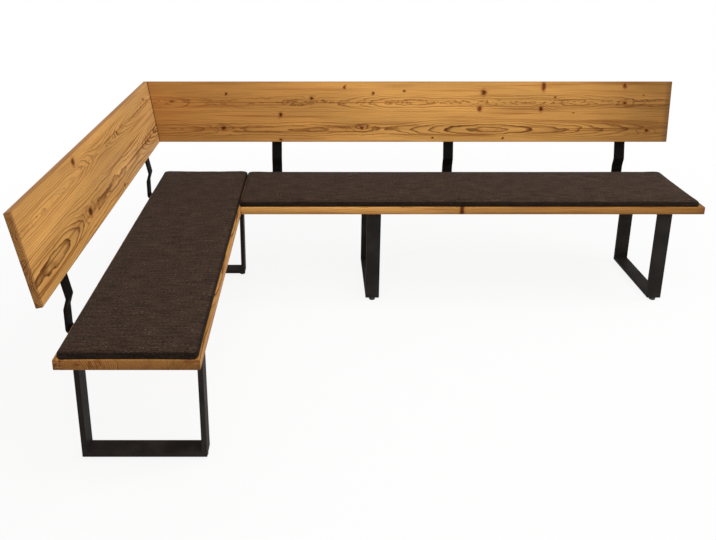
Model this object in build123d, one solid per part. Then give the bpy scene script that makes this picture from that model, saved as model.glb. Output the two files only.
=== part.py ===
from build123d import *
import os
from math import cos, radians, sin, tan

# Corner bench: two solid wood seats that butt into an L, leaning backrests that meet in a mitre,
# closed leg frames of rectangular steel tube, cranked flat steel back brackets and loose seat pads.
# Millimetres, +Z up. The long seat runs along +X and the side seat comes forward along -Y.

# Seats
SEAT_DEPTH = 400.0
SIDE_LENGTH = 1500.0
LONG_LENGTH = 2310.0
SEAT_THICKNESS = 32.0
SEAT_EDGE_RADIUS = 3.0
SEAT_SEAM = 0.3

# Leg frames
TUBE_WIDTH = 58.0
TUBE_THICKNESS = 16.0
TUBE_WALL = 2.0
TUBE_EDGE_RADIUS = 1.5
FRAME_HEIGHT = 392.0
FRAME_REAR_INSET = 4.0
FRAME_FRONT_INSET = 18.0
SIDE_LEG_INSET = 134.0
RIGHT_LEG_INSET = 122.0
CORNER_LEG_INSET = 97.0
MIDDLE_LEG_OFFSET = 521.0

# Levelling feet
FOOT_HEIGHT = 13.0
FOOT_DIAMETER = 26.0
FOOT_TOP_DIAMETER = 20.0
FOOT_WALL_HEIGHT = 7.0
FOOT_BEVEL = 1.5
FOOT_INSET = 14.0
STUD_DIAMETER = 8.0
STUD_SEAT = 6.0
STUD_TIP_GAP = 1.0
STUD_CLEARANCE = 0.3

# Backrests
BACKREST_HEIGHT = 275.0
BACKREST_THICKNESS = 20.0
BACKREST_LEAN = 11.3
BACKREST_RISE = 158.0
BACKREST_SETBACK = 6.0
BACKREST_EDGE_RADIUS = 2.0
BACKREST_END_RAKE = 15.0
MITRE_SEAM = 0.6

# Back brackets
BRACKET_WIDTH = 45.0
BRACKET_THICKNESS = 8.0
BRACKET_BEND_RADIUS = 12.0
BRACKET_STANDOFF = 20.5
BRACKET_FLANGE = 160.0
BRACKET_CRANK_START = 40.0
BRACKET_CRANK_END = 75.0
BRACKET_REACH = 190.0
BRACKET_LEG_GAP = 3.0
LEFT_BRACKET_OFFSET = 106.0

# Plates under the seam of the two seats
PLATE_LENGTH = 160.0
PLATE_WIDTH = 50.0
PLATE_THICKNESS = 5.0
PLATE_REAR_INSET = 30.0
PLATE_FRONT_INSET = 50.0

# Leg bolts in threaded inserts
BOLT_DIAMETER = 8.0
BOLT_HEAD_DIAMETER = 14.0
BOLT_HEAD_HEIGHT = 4.4
BOLT_GRIP = 18.0
BOLT_END_INSET = 50.0
BOLT_PITCH = 28.0
INSERT_DIAMETER = 12.0
INSERT_LENGTH = 20.0

# Wood screws
SCREW_DIAMETER = 5.0
SCREW_HEAD_DIAMETER = 10.0
SCREW_HEAD_HEIGHT = 3.0
SEAT_SCREW_GRIP = 20.0
BACK_SCREW_GRIP = 14.0
SCREW_ROW_COUNT = 3
FLANGE_SCREW_INSET = 15.0
FLANGE_SCREW_PITCH = 50.0
BACK_SCREW_INSET = 18.0
BACK_SCREW_PITCH = 55.0
PLATE_SCREW_INSET = 12.0
PLATE_SCREW_PITCH = 22.0

# Fits of the fasteners
FIT_CLEARANCE = 0.05
HOLE_TIP_GAP = 1.0

# Seat pads
PAD_THICKNESS = 24.0
PAD_REAR_INSET = 10.0
PAD_FRONT_INSET = 6.0
SIDE_PAD_END_INSET = 3.0
LONG_PAD_END_INSET = 22.0
PAD_CORNER_RADIUS = 14.0
PAD_EDGE_ROLL = 6.0
PAD_DRAW = 1.5
PAD_LIFT = 0.3
PAD_SEAM = 1.0

# Levels and lines that follow from the sizes above
SEAT_UNDERSIDE = FOOT_HEIGHT + FRAME_HEIGHT
SEAT_TOP = SEAT_UNDERSIDE + SEAT_THICKNESS
FRAME_SPAN = SEAT_DEPTH - FRAME_REAR_INSET - FRAME_FRONT_INSET
LEAN_SIN = sin(radians(BACKREST_LEAN))
LEAN_COS = cos(radians(BACKREST_LEAN))
ROUND_UP = BACKREST_HEIGHT - BACKREST_EDGE_RADIUS
ROUND_OUT = BACKREST_THICKNESS - BACKREST_EDGE_RADIUS
BACK_REACH = BACKREST_SETBACK + ROUND_UP * LEAN_SIN + ROUND_OUT * LEAN_COS + BACKREST_EDGE_RADIUS
MITRE_NORMAL = (1, 1, 0)

# Each seat has its own axes: X from the rear edge to the front edge, Y along the seat.
SIDE_RUN = Plane((0, 0, 0), x_dir=(1, 0, 0), z_dir=(0, 0, 1)).location
LONG_RUN = Plane((0, 0, 0), x_dir=(0, -1, 0), z_dir=(0, 0, 1)).location

# The middle of the finished bench on the floor is the origin.
CENTRE = Pos((BACK_REACH - LONG_LENGTH - BACKREST_END_RAKE) / 2, (SIDE_LENGTH - BACK_REACH) / 2, 0)

# Where the leg frames and brackets stand along their seats, at the middle of each bar
LEG_PLACES = {
    "side_leg": SIDE_RUN * Pos(0, -SIDE_LENGTH + SIDE_LEG_INSET + TUBE_WIDTH / 2, 0),
    "corner_leg": SIDE_RUN * Pos(0, -CORNER_LEG_INSET - TUBE_WIDTH / 2, 0),
    "middle_leg": LONG_RUN * Pos(0, SEAT_DEPTH + MIDDLE_LEG_OFFSET + TUBE_WIDTH / 2, 0),
    "right_leg": LONG_RUN * Pos(0, LONG_LENGTH - RIGHT_LEG_INSET - TUBE_WIDTH / 2, 0),
}
BESIDE_LEG = TUBE_WIDTH + BRACKET_LEG_GAP + BRACKET_WIDTH / 2
SIDE_FRONT_BRACKET = -SIDE_LENGTH + SIDE_LEG_INSET + BESIDE_LEG
SIDE_CORNER_BRACKET = -CORNER_LEG_INSET - BESIDE_LEG
LONG_LEFT_BRACKET = SEAT_DEPTH + LEFT_BRACKET_OFFSET + BRACKET_WIDTH / 2
LONG_RIGHT_BRACKET = LONG_LENGTH - RIGHT_LEG_INSET - BESIDE_LEG
SIDE_BRACKETS = {
    "side_front_bracket": SIDE_RUN * Pos(0, SIDE_FRONT_BRACKET, 0),
    "side_corner_bracket": SIDE_RUN * Pos(0, SIDE_CORNER_BRACKET, 0),
}
LONG_BRACKETS = {
    "long_left_bracket": LONG_RUN * Pos(0, LONG_LEFT_BRACKET, 0),
    "long_middle_bracket": LONG_RUN * Pos(0, (LONG_LEFT_BRACKET + LONG_RIGHT_BRACKET) / 2, 0),
    "long_right_bracket": LONG_RUN * Pos(0, LONG_RIGHT_BRACKET, 0),
}

UPWARD = (Align.CENTER, Align.CENTER, Align.MIN)
DOWNWARD = (Align.CENTER, Align.CENTER, Align.MAX)


# Fasteners point along +Z, with the head's seat at zero.
def screw(diameter, length, head_diameter, head_height):
    shank = Cylinder(diameter / 2, length, align=UPWARD)
    head = Cylinder(head_diameter / 2, head_height, align=DOWNWARD)
    return head + shank


def drilled(diameter, depth):
    return Cylinder(diameter / 2 + FIT_CLEARANCE, depth, align=UPWARD)


def wood_screw(through, grip):
    return screw(SCREW_DIAMETER, through + grip, SCREW_HEAD_DIAMETER, SCREW_HEAD_HEIGHT)


def wood_screw_hole(through, grip):
    return drilled(SCREW_DIAMETER, through + grip + HOLE_TIP_GAP)


# Leg frame: four mitred tubes welded into a closed rectangle across the seat
def mitred_tube(length):
    far = length - TUBE_THICKNESS
    outline = Polygon((0, 0), (length, 0), (far, TUBE_THICKNESS), (TUBE_THICKNESS, TUBE_THICKNESS), align=None)
    inner = TUBE_THICKNESS - TUBE_WALL
    bore_outline = Polygon(
        (TUBE_WALL, TUBE_WALL),
        (length - TUBE_WALL, TUBE_WALL),
        (length - inner, inner),
        (inner, inner),
        align=None,
    )
    tube = extrude(Plane.XZ * outline, TUBE_WIDTH / 2, both=True)
    tube = fillet(tube.edges().filter_by(Axis.X), TUBE_EDGE_RADIUS)
    return tube - extrude(Plane.XZ * bore_outline, TUBE_WIDTH / 2 - TUBE_WALL, both=True)


def foot_places():
    return {
        "rear_foot": Pos(FRAME_REAR_INSET + FOOT_INSET, 0, 0),
        "front_foot": Pos(FRAME_REAR_INSET + FRAME_SPAN - FOOT_INSET, 0, 0),
    }


def bolt_places():
    rows = (FRAME_REAR_INSET + BOLT_END_INSET, FRAME_REAR_INSET + FRAME_SPAN - BOLT_END_INSET)
    columns = (-BOLT_PITCH / 2, BOLT_PITCH / 2)
    return [Pos(row, column, SEAT_UNDERSIDE - TUBE_THICKNESS) for row in rows for column in columns]


def leg_frame():
    front = FRAME_REAR_INSET + FRAME_SPAN
    runner = Pos(FRAME_REAR_INSET, 0, FOOT_HEIGHT) * mitred_tube(FRAME_SPAN)
    stud_hole = Cylinder(STUD_DIAMETER / 2 + STUD_CLEARANCE, FOOT_HEIGHT + TUBE_THICKNESS / 2, align=UPWARD)
    runner -= [place * stud_hole for place in foot_places().values()]
    top_bar = Pos(front, 0, SEAT_UNDERSIDE) * Rot(0, 180, 0) * mitred_tube(FRAME_SPAN)
    top_bar -= [place * drilled(BOLT_DIAMETER, TUBE_THICKNESS) for place in bolt_places()]
    return {
        "runner": runner,
        "top_bar": top_bar,
        "rear_post": Pos(FRAME_REAR_INSET, 0, SEAT_UNDERSIDE) * Rot(0, 90, 0) * mitred_tube(FRAME_HEIGHT),
        "front_post": Pos(front, 0, FOOT_HEIGHT) * Rot(0, -90, 0) * mitred_tube(FRAME_HEIGHT),
    }


# Levelling foot: a tapered plastic pad on a threaded stud that screws into the runner
def foot_pad():
    edge = FOOT_DIAMETER / 2
    profile = Polyline(
        (0, 0),
        (edge - FOOT_BEVEL, 0),
        (edge, FOOT_BEVEL),
        (edge, FOOT_WALL_HEIGHT),
        (FOOT_TOP_DIAMETER / 2, FOOT_HEIGHT),
        (0, FOOT_HEIGHT),
        close=True,
    )
    pad = revolve(Plane.XZ * make_face(profile), Axis.Z)
    return pad - Pos(0, 0, FOOT_HEIGHT - STUD_SEAT) * drilled(STUD_DIAMETER, STUD_SEAT)


def foot_stud():
    length = STUD_SEAT + TUBE_THICKNESS - TUBE_WALL - STUD_TIP_GAP
    return Pos(0, 0, FOOT_HEIGHT - STUD_SEAT) * Cylinder(STUD_DIAMETER / 2, length, align=UPWARD)


# Back bracket: one flat bar, bent up behind the seat, cranked inwards and laid against the backrest
def on_backrest(up, out):
    across = -BACKREST_SETBACK - up * LEAN_SIN - out * LEAN_COS
    level = SEAT_TOP + BACKREST_RISE + up * LEAN_COS - out * LEAN_SIN
    return across, level


def bracket_blank():
    middle = BRACKET_THICKNESS / 2
    flange_level = SEAT_UNDERSIDE - middle
    upright = -BRACKET_STANDOFF - middle
    crank_level = SEAT_TOP + BRACKET_CRANK_END
    foot_across, foot_level = on_backrest(0, BACKREST_THICKNESS + middle)
    crank_across = foot_across + (foot_level - crank_level) * tan(radians(BACKREST_LEAN))
    centre_line = Plane.XZ * FilletPolyline(
        (BRACKET_FLANGE, flange_level),
        (upright, flange_level),
        (upright, SEAT_TOP + BRACKET_CRANK_START),
        (crank_across, crank_level),
        on_backrest(BRACKET_REACH, BACKREST_THICKNESS + middle),
        radius=BRACKET_BEND_RADIUS,
    )
    section = Plane(centre_line @ 0, x_dir=(0, 1, 0), z_dir=centre_line % 0)
    return sweep(section * Rectangle(BRACKET_WIDTH, BRACKET_THICKNESS), centre_line)


def flange_screw_places():
    level = SEAT_UNDERSIDE - BRACKET_THICKNESS
    first = BRACKET_FLANGE - FLANGE_SCREW_INSET
    return [Pos(first - FLANGE_SCREW_PITCH * step, 0, level) for step in range(SCREW_ROW_COUNT)]


def back_screw_places():
    places = []
    for step in range(SCREW_ROW_COUNT):
        up = BRACKET_REACH - BACK_SCREW_INSET - BACK_SCREW_PITCH * step
        across, level = on_backrest(up, BACKREST_THICKNESS + BRACKET_THICKNESS)
        places.append(Plane((across, 0, level), x_dir=(0, 1, 0), z_dir=(LEAN_COS, 0, LEAN_SIN)).location)
    return places


def bracket():
    holes = [place * drilled(SCREW_DIAMETER, BRACKET_THICKNESS) for place in flange_screw_places()]
    holes += [place * drilled(SCREW_DIAMETER, BRACKET_THICKNESS) for place in back_screw_places()]
    return bracket_blank() - holes


# Joint plates: they carry the long seat's butted end on the side seat
def plate_places():
    from_rear = (PLATE_REAR_INSET + PLATE_WIDTH / 2, SEAT_DEPTH - PLATE_FRONT_INSET - PLATE_WIDTH / 2)
    names = ("rear_joint_plate", "front_joint_plate")
    level = SEAT_UNDERSIDE - PLATE_THICKNESS
    return {name: Pos(SEAT_DEPTH, -inset, level) for name, inset in zip(names, from_rear)}


def plate_screw_places():
    end = PLATE_LENGTH / 2 - PLATE_SCREW_INSET
    offsets = [end - PLATE_SCREW_PITCH * step for step in range(SCREW_ROW_COUNT)]
    return [Pos(side * offset, 0, 0) for side in (-1, 1) for offset in offsets]


def joint_plate():
    plate = Box(PLATE_LENGTH, PLATE_WIDTH, PLATE_THICKNESS, align=UPWARD)
    return plate - [place * drilled(SCREW_DIAMETER, PLATE_THICKNESS) for place in plate_screw_places()]


# Seats: solid boards with eased edges, drilled from below
def seat_holes():
    insert_hole = Pos(0, 0, TUBE_THICKNESS) * drilled(INSERT_DIAMETER, INSERT_LENGTH + HOLE_TIP_GAP)
    holes = [leg * place * insert_hole for leg in LEG_PLACES.values() for place in bolt_places()]
    flange_hole = wood_screw_hole(BRACKET_THICKNESS, SEAT_SCREW_GRIP)
    for stand in [*SIDE_BRACKETS.values(), *LONG_BRACKETS.values()]:
        holes += [stand * place * flange_hole for place in flange_screw_places()]
    plate_hole = wood_screw_hole(PLATE_THICKNESS, SEAT_SCREW_GRIP)
    for plate in plate_places().values():
        holes += [plate * place * plate_hole for place in plate_screw_places()]
    return holes


def seat_board(left, right, front):
    board = Box(right - left, front, SEAT_THICKNESS, align=(Align.MIN, Align.MAX, Align.MIN))
    board = fillet(board.edges(), SEAT_EDGE_RADIUS)
    return Pos(left, 0, SEAT_UNDERSIDE) * board - seat_holes()


# Backrests: leaning boards whose ends are cut together along the vertical plane of the corner.
# The long one's free end is raked: it stands out further at its top than at its foot.
def backrest_board(start, length, rake=0.0):
    corners = [(0, 0), (BACKREST_HEIGHT, 0), (BACKREST_HEIGHT, BACKREST_THICKNESS), (0, BACKREST_THICKNESS)]
    outline = Polygon(*[on_backrest(up, out) for up, out in corners], align=None)
    board = Pos(0, start, 0) * extrude(Plane.XZ * outline, -length - rake)
    if rake:
        foot_x, foot_z = on_backrest(0, 0)
        top_x, top_z = on_backrest(BACKREST_HEIGHT, 0)
        rising = Vector(top_x - foot_x, rake, top_z - foot_z)
        through = Vector(LEAN_COS, 0, LEAN_SIN)
        cut = Plane(origin=(foot_x, start + length, foot_z), z_dir=rising.cross(through))
        board = split(board, bisect_by=cut, keep=Keep.BOTTOM)
    return fillet(board.edges(), BACKREST_EDGE_RADIUS)


def mitred(board, side):
    offset = side * MITRE_SEAM / 2
    normal = Vector(*MITRE_NORMAL).normalized()
    cut = Plane(origin=normal * offset, z_dir=normal)
    return split(board, bisect_by=cut, keep=Keep.TOP if side > 0 else Keep.BOTTOM)


def backrest_holes(stands):
    hole = wood_screw_hole(BRACKET_THICKNESS, BACK_SCREW_GRIP)
    return [stand * place * hole for stand in stands for place in back_screw_places()]


# Seat pads: crowned closed forms with rounded corners and sides that draw in between them
def pad_outline(width, length, radius, draw):
    x = width / 2
    y = length / 2
    diagonal = radius * (1 - cos(radians(45)))
    edges = [
        ThreePointArc((radius - x, -y), (0, draw - y), (x - radius, -y)),
        ThreePointArc((x - radius, -y), (x - diagonal, diagonal - y), (x, radius - y)),
        ThreePointArc((x, radius - y), (x - draw, 0), (x, y - radius)),
        ThreePointArc((x, y - radius), (x - diagonal, y - diagonal), (x - radius, y)),
        ThreePointArc((x - radius, y), (0, y - draw), (radius - x, y)),
        ThreePointArc((radius - x, y), (diagonal - x, y - diagonal), (-x, y - radius)),
        ThreePointArc((-x, y - radius), (draw - x, 0), (-x, radius - y)),
        ThreePointArc((-x, radius - y), (diagonal - x, diagonal - y), (radius - x, -y)),
    ]
    return make_face(edges)


def seat_pad(width, length):
    # Height as a share of the thickness, and how far the outline has come in there
    half_width = min(width, length) / 2
    edge = [(0.0, 0.6), (0.12, 0.15), (0.35, 0.0), (0.62, 0.1), (0.78, 0.45), (0.88, 1.2)]
    crown = [(0.94, 0.1), (0.98, 0.32), (1.0, 0.6)]
    contours = [(share, PAD_EDGE_ROLL * roll) for share, roll in edge]
    contours += [(share, half_width * inward) for share, inward in crown]
    sections = []
    for share, inset in contours:
        outline = pad_outline(width - 2 * inset, length - 2 * inset, PAD_CORNER_RADIUS + inset / 4, PAD_DRAW)
        sections.append(Pos(0, 0, share * PAD_THICKNESS) * outline)
    return loft(sections, ruled=True)


def side_pad():
    rear = PAD_REAR_INSET
    front = SEAT_DEPTH - PAD_FRONT_INSET
    length = SIDE_LENGTH - 2 * SIDE_PAD_END_INSET
    return Pos((rear + front) / 2, -SIDE_LENGTH / 2, SEAT_TOP + PAD_LIFT) * seat_pad(front - rear, length)


def long_pad():
    left = SEAT_DEPTH - PAD_FRONT_INSET + PAD_SEAM
    right = LONG_LENGTH - LONG_PAD_END_INSET
    rear = PAD_REAR_INSET
    front = SEAT_DEPTH - PAD_FRONT_INSET
    return Pos((left + right) / 2, -(rear + front) / 2, SEAT_TOP + PAD_LIFT) * seat_pad(right - left, front - rear)


# Assembly
nodes = {
    "side_seat": seat_board(0, SEAT_DEPTH, SIDE_LENGTH),
    "long_seat": seat_board(SEAT_DEPTH + SEAT_SEAM, LONG_LENGTH, SEAT_DEPTH),
    "side_pad": side_pad(),
    "long_pad": long_pad(),
}

corner_overrun = 2 * BACK_REACH
side_blank = SIDE_RUN * backrest_board(-SIDE_LENGTH, SIDE_LENGTH + corner_overrun)
long_blank = LONG_RUN * backrest_board(-corner_overrun, LONG_LENGTH + corner_overrun, BACKREST_END_RAKE)
nodes["side_backrest"] = mitred(side_blank, -1) - backrest_holes(SIDE_BRACKETS.values())
nodes["long_backrest"] = mitred(long_blank, 1) - backrest_holes(LONG_BRACKETS.values())

frame_tubes = leg_frame()
pad_of_foot = foot_pad()
stud_of_foot = foot_stud()
for leg, stand in LEG_PLACES.items():
    for tube_name, tube in frame_tubes.items():
        nodes[f"{leg}_{tube_name}"] = stand * tube
    for foot, place in foot_places().items():
        nodes[f"{leg}_{foot}_pad"] = stand * place * pad_of_foot
        nodes[f"{leg}_{foot}_stud"] = stand * place * stud_of_foot

bent_bracket = bracket()
bracket_stands = {**SIDE_BRACKETS, **LONG_BRACKETS}
for name, stand in bracket_stands.items():
    nodes[name] = stand * bent_bracket

for name, place in plate_places().items():
    nodes[name] = place * joint_plate()

leg_bolt = screw(BOLT_DIAMETER, TUBE_THICKNESS + BOLT_GRIP, BOLT_HEAD_DIAMETER, BOLT_HEAD_HEIGHT)
insert_sleeve = Cylinder(INSERT_DIAMETER / 2, INSERT_LENGTH, align=UPWARD) - drilled(BOLT_DIAMETER, INSERT_LENGTH)
leg_insert = Pos(0, 0, TUBE_THICKNESS) * insert_sleeve
bolt_stands = [stand * place for stand in LEG_PLACES.values() for place in bolt_places()]
flange_screw = wood_screw(BRACKET_THICKNESS, SEAT_SCREW_GRIP)
back_screw = wood_screw(BRACKET_THICKNESS, BACK_SCREW_GRIP)
plate_screw = wood_screw(PLATE_THICKNESS, SEAT_SCREW_GRIP)
flange_stands = [stand * place for stand in bracket_stands.values() for place in flange_screw_places()]
back_stands = [stand * place for stand in bracket_stands.values() for place in back_screw_places()]
plate_stands = [plate * place for plate in plate_places().values() for place in plate_screw_places()]
groups = {
    "leg_bolts": (leg_bolt, bolt_stands),
    "leg_inserts": (leg_insert, bolt_stands),
    "bracket_seat_screws": (flange_screw, flange_stands),
    "bracket_back_screws": (back_screw, back_stands),
    "plate_screws": (plate_screw, plate_stands),
}
for name, (piece, stands) in groups.items():
    nodes[name] = Compound(children=[stand * piece for stand in stands])

os.makedirs("parts", exist_ok=True)
for name, shape in nodes.items():
    export_step(CENTRE * shape, f"parts/{name}.step")
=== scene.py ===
from math import cos, pi, radians, sin, tau

import bmesh
import bpy
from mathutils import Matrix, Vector
from mathutils.bvhtree import BVHTree


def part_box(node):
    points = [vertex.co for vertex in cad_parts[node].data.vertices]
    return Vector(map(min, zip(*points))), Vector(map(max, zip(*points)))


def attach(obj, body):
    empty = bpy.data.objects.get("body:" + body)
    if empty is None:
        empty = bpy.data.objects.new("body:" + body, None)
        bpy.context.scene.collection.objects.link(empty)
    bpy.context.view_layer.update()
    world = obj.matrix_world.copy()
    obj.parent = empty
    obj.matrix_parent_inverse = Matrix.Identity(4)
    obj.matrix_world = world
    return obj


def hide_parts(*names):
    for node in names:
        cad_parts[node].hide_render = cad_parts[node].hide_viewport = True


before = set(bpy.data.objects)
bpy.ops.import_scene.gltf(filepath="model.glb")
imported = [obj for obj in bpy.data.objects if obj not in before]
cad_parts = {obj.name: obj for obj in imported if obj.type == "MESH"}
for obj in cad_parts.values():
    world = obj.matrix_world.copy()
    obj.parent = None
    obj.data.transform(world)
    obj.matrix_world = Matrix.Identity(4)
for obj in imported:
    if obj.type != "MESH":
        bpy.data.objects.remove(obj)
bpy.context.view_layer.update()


# Leg frames: four closed rectangles of flat steel tube, mitred at the corners and welded.
# The welds are ground flush outside and stay as small rippled beads in the inner corners.
# The finish is a matt black powder coat with a fine grain.
LEGS = ("side_leg", "corner_leg", "middle_leg", "right_leg")
TUBES = ("runner", "top_bar", "rear_post", "front_post")
COAT_DARK = (0.0178, 0.015, 0.0136, 1)
COAT_LIGHT = (0.0268, 0.0231, 0.0212, 1)
COAT_DUST = (0.034, 0.03, 0.0282, 1)
COAT_GLOSS = 0.03
COAT_ROUGHNESS = (0.5, 0.62)
# Cloud and grain: a noise's scale and detail. Edges and slope: the range over which a tint comes in
COAT_CLOUD = (11.0, 3.0)
COAT_CLOUD_EDGES = (0.35, 0.68)
COAT_DUST_EDGES = (0.4, 0.7)
COAT_DUST_SLOPE = (0.6, 0.95)
COAT_GRAIN = (900.0, 1.0)
COAT_GRAIN_DEPTH = 0.00006
# The range in which most of a noise lies
NOISE_SPAN = (0.3, 0.7)
BEAD_RADIUS = 0.0024
BEAD_RIPPLE = 0.0042
BEAD_SWELL = 0.16
BEAD_STEPS = 6.0
BEAD_SIDES = 10
BEAD_END_INSET = 0.003


def node(tree, kind, inputs=(), **fields):
    """A new node, with its fields set and its inputs filled or linked by name or number."""
    made = tree.nodes.new(kind)
    for field, value in fields.items():
        setattr(made, field, value)
    for socket, value in dict(inputs).items():
        if isinstance(value, bpy.types.NodeSocket):
            tree.links.new(value, made.inputs[socket])
        else:
            made.inputs[socket].default_value = value
    return made


def reckon(tree, operation, *values):
    """The output of a Math node."""
    return node(tree, "ShaderNodeMath", enumerate(values), operation=operation).outputs[0]


def noise(tree, vector, scale, detail=2.0):
    """A noise value around one half."""
    inputs = {"Vector": vector, "Scale": scale, "Detail": detail}
    return node(tree, "ShaderNodeTexNoise", inputs).outputs["Fac"]


def spread(tree, value, low, high, to_low=0.0, to_high=1.0):
    """A value eased from one range into another, and held at its ends."""
    inputs = {"Value": value, "From Min": low, "From Max": high, "To Min": to_low, "To Max": to_high}
    return node(tree, "ShaderNodeMapRange", inputs, interpolation_type="SMOOTHSTEP").outputs["Result"]


def tint(tree, share, first, second, blend="MIX"):
    """A colour between two colours, or the second laid over the first."""
    mixer = node(tree, "ShaderNodeMix", data_type="RGBA", blend_type=blend)
    # The node has inputs for each kind of data, and these are the ones for colours
    for number, value in ((0, share), (6, first), (7, second)):
        if isinstance(value, bpy.types.NodeSocket):
            tree.links.new(value, mixer.inputs[number])
        else:
            mixer.inputs[number].default_value = value
    return mixer.outputs[2]


def new_finish(name):
    """A new material: itself, its tree, its shader and the object's own coordinates."""
    material = bpy.data.materials.new(name)
    material.use_nodes = True
    tree = material.node_tree
    place = node(tree, "ShaderNodeTexCoord").outputs["Object"]
    return material, tree, tree.nodes["Principled BSDF"], place


def set_surface(tree, shader, colour, roughness, height, depth):
    """Links a finish's colour, roughness and relief to its shader."""
    relief = node(tree, "ShaderNodeBump", {"Height": height, "Distance": depth})
    tree.links.new(colour, shader.inputs["Base Color"])
    tree.links.new(roughness, shader.inputs["Roughness"])
    tree.links.new(relief.outputs["Normal"], shader.inputs["Normal"])


def upward(tree):
    """How far a face looks up, from its normal in the object's own axes."""
    normal = node(tree, "ShaderNodeTexCoord").outputs["Normal"]
    return node(tree, "ShaderNodeSeparateXYZ", {0: normal}).outputs["Z"]


def dress(names, material):
    """Gives the CAD nodes of these names a material."""
    for name in names:
        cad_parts[name].material_slots[0].material = material


def powder_coat(name, painted_shade=1.0):
    """A matt powder coat. The painted shade makes it darker than the legs' coat."""
    material, tree, shader, place = new_finish(name)
    shader.inputs["Specular IOR Level"].default_value = COAT_GLOSS
    cloud = noise(tree, place, *COAT_CLOUD)
    coat = tint(tree, spread(tree, cloud, *COAT_CLOUD_EDGES), COAT_DARK, COAT_LIGHT)
    on_top = spread(tree, upward(tree), *COAT_DUST_SLOPE)
    dust = reckon(tree, "MULTIPLY", on_top, spread(tree, cloud, *COAT_DUST_EDGES))
    colour = tint(tree, dust, coat, COAT_DUST)
    # Painted shade: a darker copy of the coat for parts in shade
    colour = tint(tree, 1.0, colour, (painted_shade, painted_shade, painted_shade, 1), "MULTIPLY")
    grain = noise(tree, place, *COAT_GRAIN)
    roughness = spread(tree, cloud, *NOISE_SPAN, *COAT_ROUGHNESS)
    set_surface(tree, shader, colour, roughness, grain, COAT_GRAIN_DEPTH)
    return material


def nodes_tree(name, sizes):
    """A Geometry Nodes tree with a geometry input and one number for each size."""
    tree = bpy.data.node_groups.new(name, "GeometryNodeTree")
    tree.interface.new_socket("Geometry", in_out="INPUT", socket_type="NodeSocketGeometry")
    for size in sizes:
        tree.interface.new_socket(size, in_out="INPUT", socket_type="NodeSocketFloat")
    tree.interface.new_socket("Geometry", in_out="OUTPUT", socket_type="NodeSocketGeometry")
    return tree, node(tree, "NodeGroupInput").outputs


def end_tree(tree, geometry, material):
    """Ends a Geometry Nodes tree in real faces with their material."""
    real = node(tree, "GeometryNodeRealizeInstances", {0: geometry}).outputs[0]
    smooth = node(tree, "GeometryNodeSetShadeSmooth", {0: real}).outputs[0]
    finished = node(tree, "GeometryNodeSetMaterial", {"Geometry": smooth, "Material": material}).outputs[0]
    node(tree, "NodeGroupOutput", {0: finished})


def set_plain_mesh(piece):
    """Turns a piece's modifiers into its mesh."""
    evaluated = piece.evaluated_get(bpy.context.evaluated_depsgraph_get())
    mesh = bpy.data.meshes.new_from_object(evaluated)
    piece.modifiers.clear()
    piece.data = mesh


def grown(name, start, tree, sizes):
    """The plain mesh object that a Geometry Nodes tree makes from a starting mesh."""
    piece = bpy.data.objects.new(name, start)
    bpy.context.collection.objects.link(piece)
    grower = piece.modifiers.new("grower", "NODES")
    grower.node_group = tree
    for socket in tree.interface.items_tree:
        if socket.in_out == "INPUT" and socket.name in sizes:
            grower[socket.identifier] = sizes[socket.name]
    set_plain_mesh(piece)
    return piece


def inner_corners(leg):
    """The two ends of each inner corner's weld on a leg frame."""
    low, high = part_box(f"{leg}_runner")
    under_top_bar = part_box(f"{leg}_top_bar")[0].z
    span = 0 if high.x - low.x > high.y - low.y else 1
    middle = (low[span] + high[span]) / 2
    welds = []
    for post in ("rear_post", "front_post"):
        post_low, post_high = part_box(f"{leg}_{post}")
        inner_face = post_high[span] if post_high[span] < middle else post_low[span]
        for level in (high.z, under_top_bar):
            start = Vector((0, 0, level))
            start[span] = inner_face
            start[1 - span] = low[1 - span] + BEAD_END_INSET
            end = start.copy()
            end[1 - span] = high[1 - span] - BEAD_END_INSET
            welds.append((start, end))
    return welds


def weld_tree(material):
    """Beads along lines, with a ripple for each drop of weld."""
    tree, given = nodes_tree("weld_bead", ("Radius", "Ripple", "Swell"))
    line = node(tree, "GeometryNodeMeshToCurve", {0: given["Geometry"]}).outputs[0]
    step = reckon(tree, "DIVIDE", given["Ripple"], BEAD_STEPS)
    line = node(tree, "GeometryNodeResampleCurve", {"Curve": line, "Length": step}, mode="LENGTH").outputs[0]
    along = node(tree, "GeometryNodeSplineParameter").outputs["Length"]
    turn = reckon(tree, "MULTIPLY", reckon(tree, "DIVIDE", along, given["Ripple"]), tau)
    swell = reckon(tree, "MULTIPLY_ADD", reckon(tree, "SINE", turn), given["Swell"], 1.0)
    line = node(tree, "GeometryNodeSetCurveRadius", {"Curve": line, "Radius": swell}).outputs[0]
    ring = {"Resolution": BEAD_SIDES, "Radius": given["Radius"]}
    profile = node(tree, "GeometryNodeCurvePrimitiveCircle", ring).outputs[0]
    bead_inputs = {"Curve": line, "Profile Curve": profile, "Fill Caps": True}
    bead = node(tree, "GeometryNodeCurveToMesh", bead_inputs).outputs[0]
    end_tree(tree, bead, material)
    return tree


leg_coat = powder_coat("leg_powder_coat")
dress([f"{leg}_{tube}" for leg in LEGS for tube in TUBES], leg_coat)
weld_ends = [point for leg in LEGS for weld in inner_corners(leg) for point in weld]
weld_lines = bpy.data.meshes.new("weld_lines")
weld_lines.from_pydata(weld_ends, [(end, end + 1) for end in range(0, len(weld_ends), 2)], [])
weld_sizes = {"Radius": BEAD_RADIUS, "Ripple": BEAD_RIPPLE, "Swell": BEAD_SWELL}
weld_beads = grown("weld_beads", weld_lines, weld_tree(leg_coat), weld_sizes)
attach(weld_beads, "bench")


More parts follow.
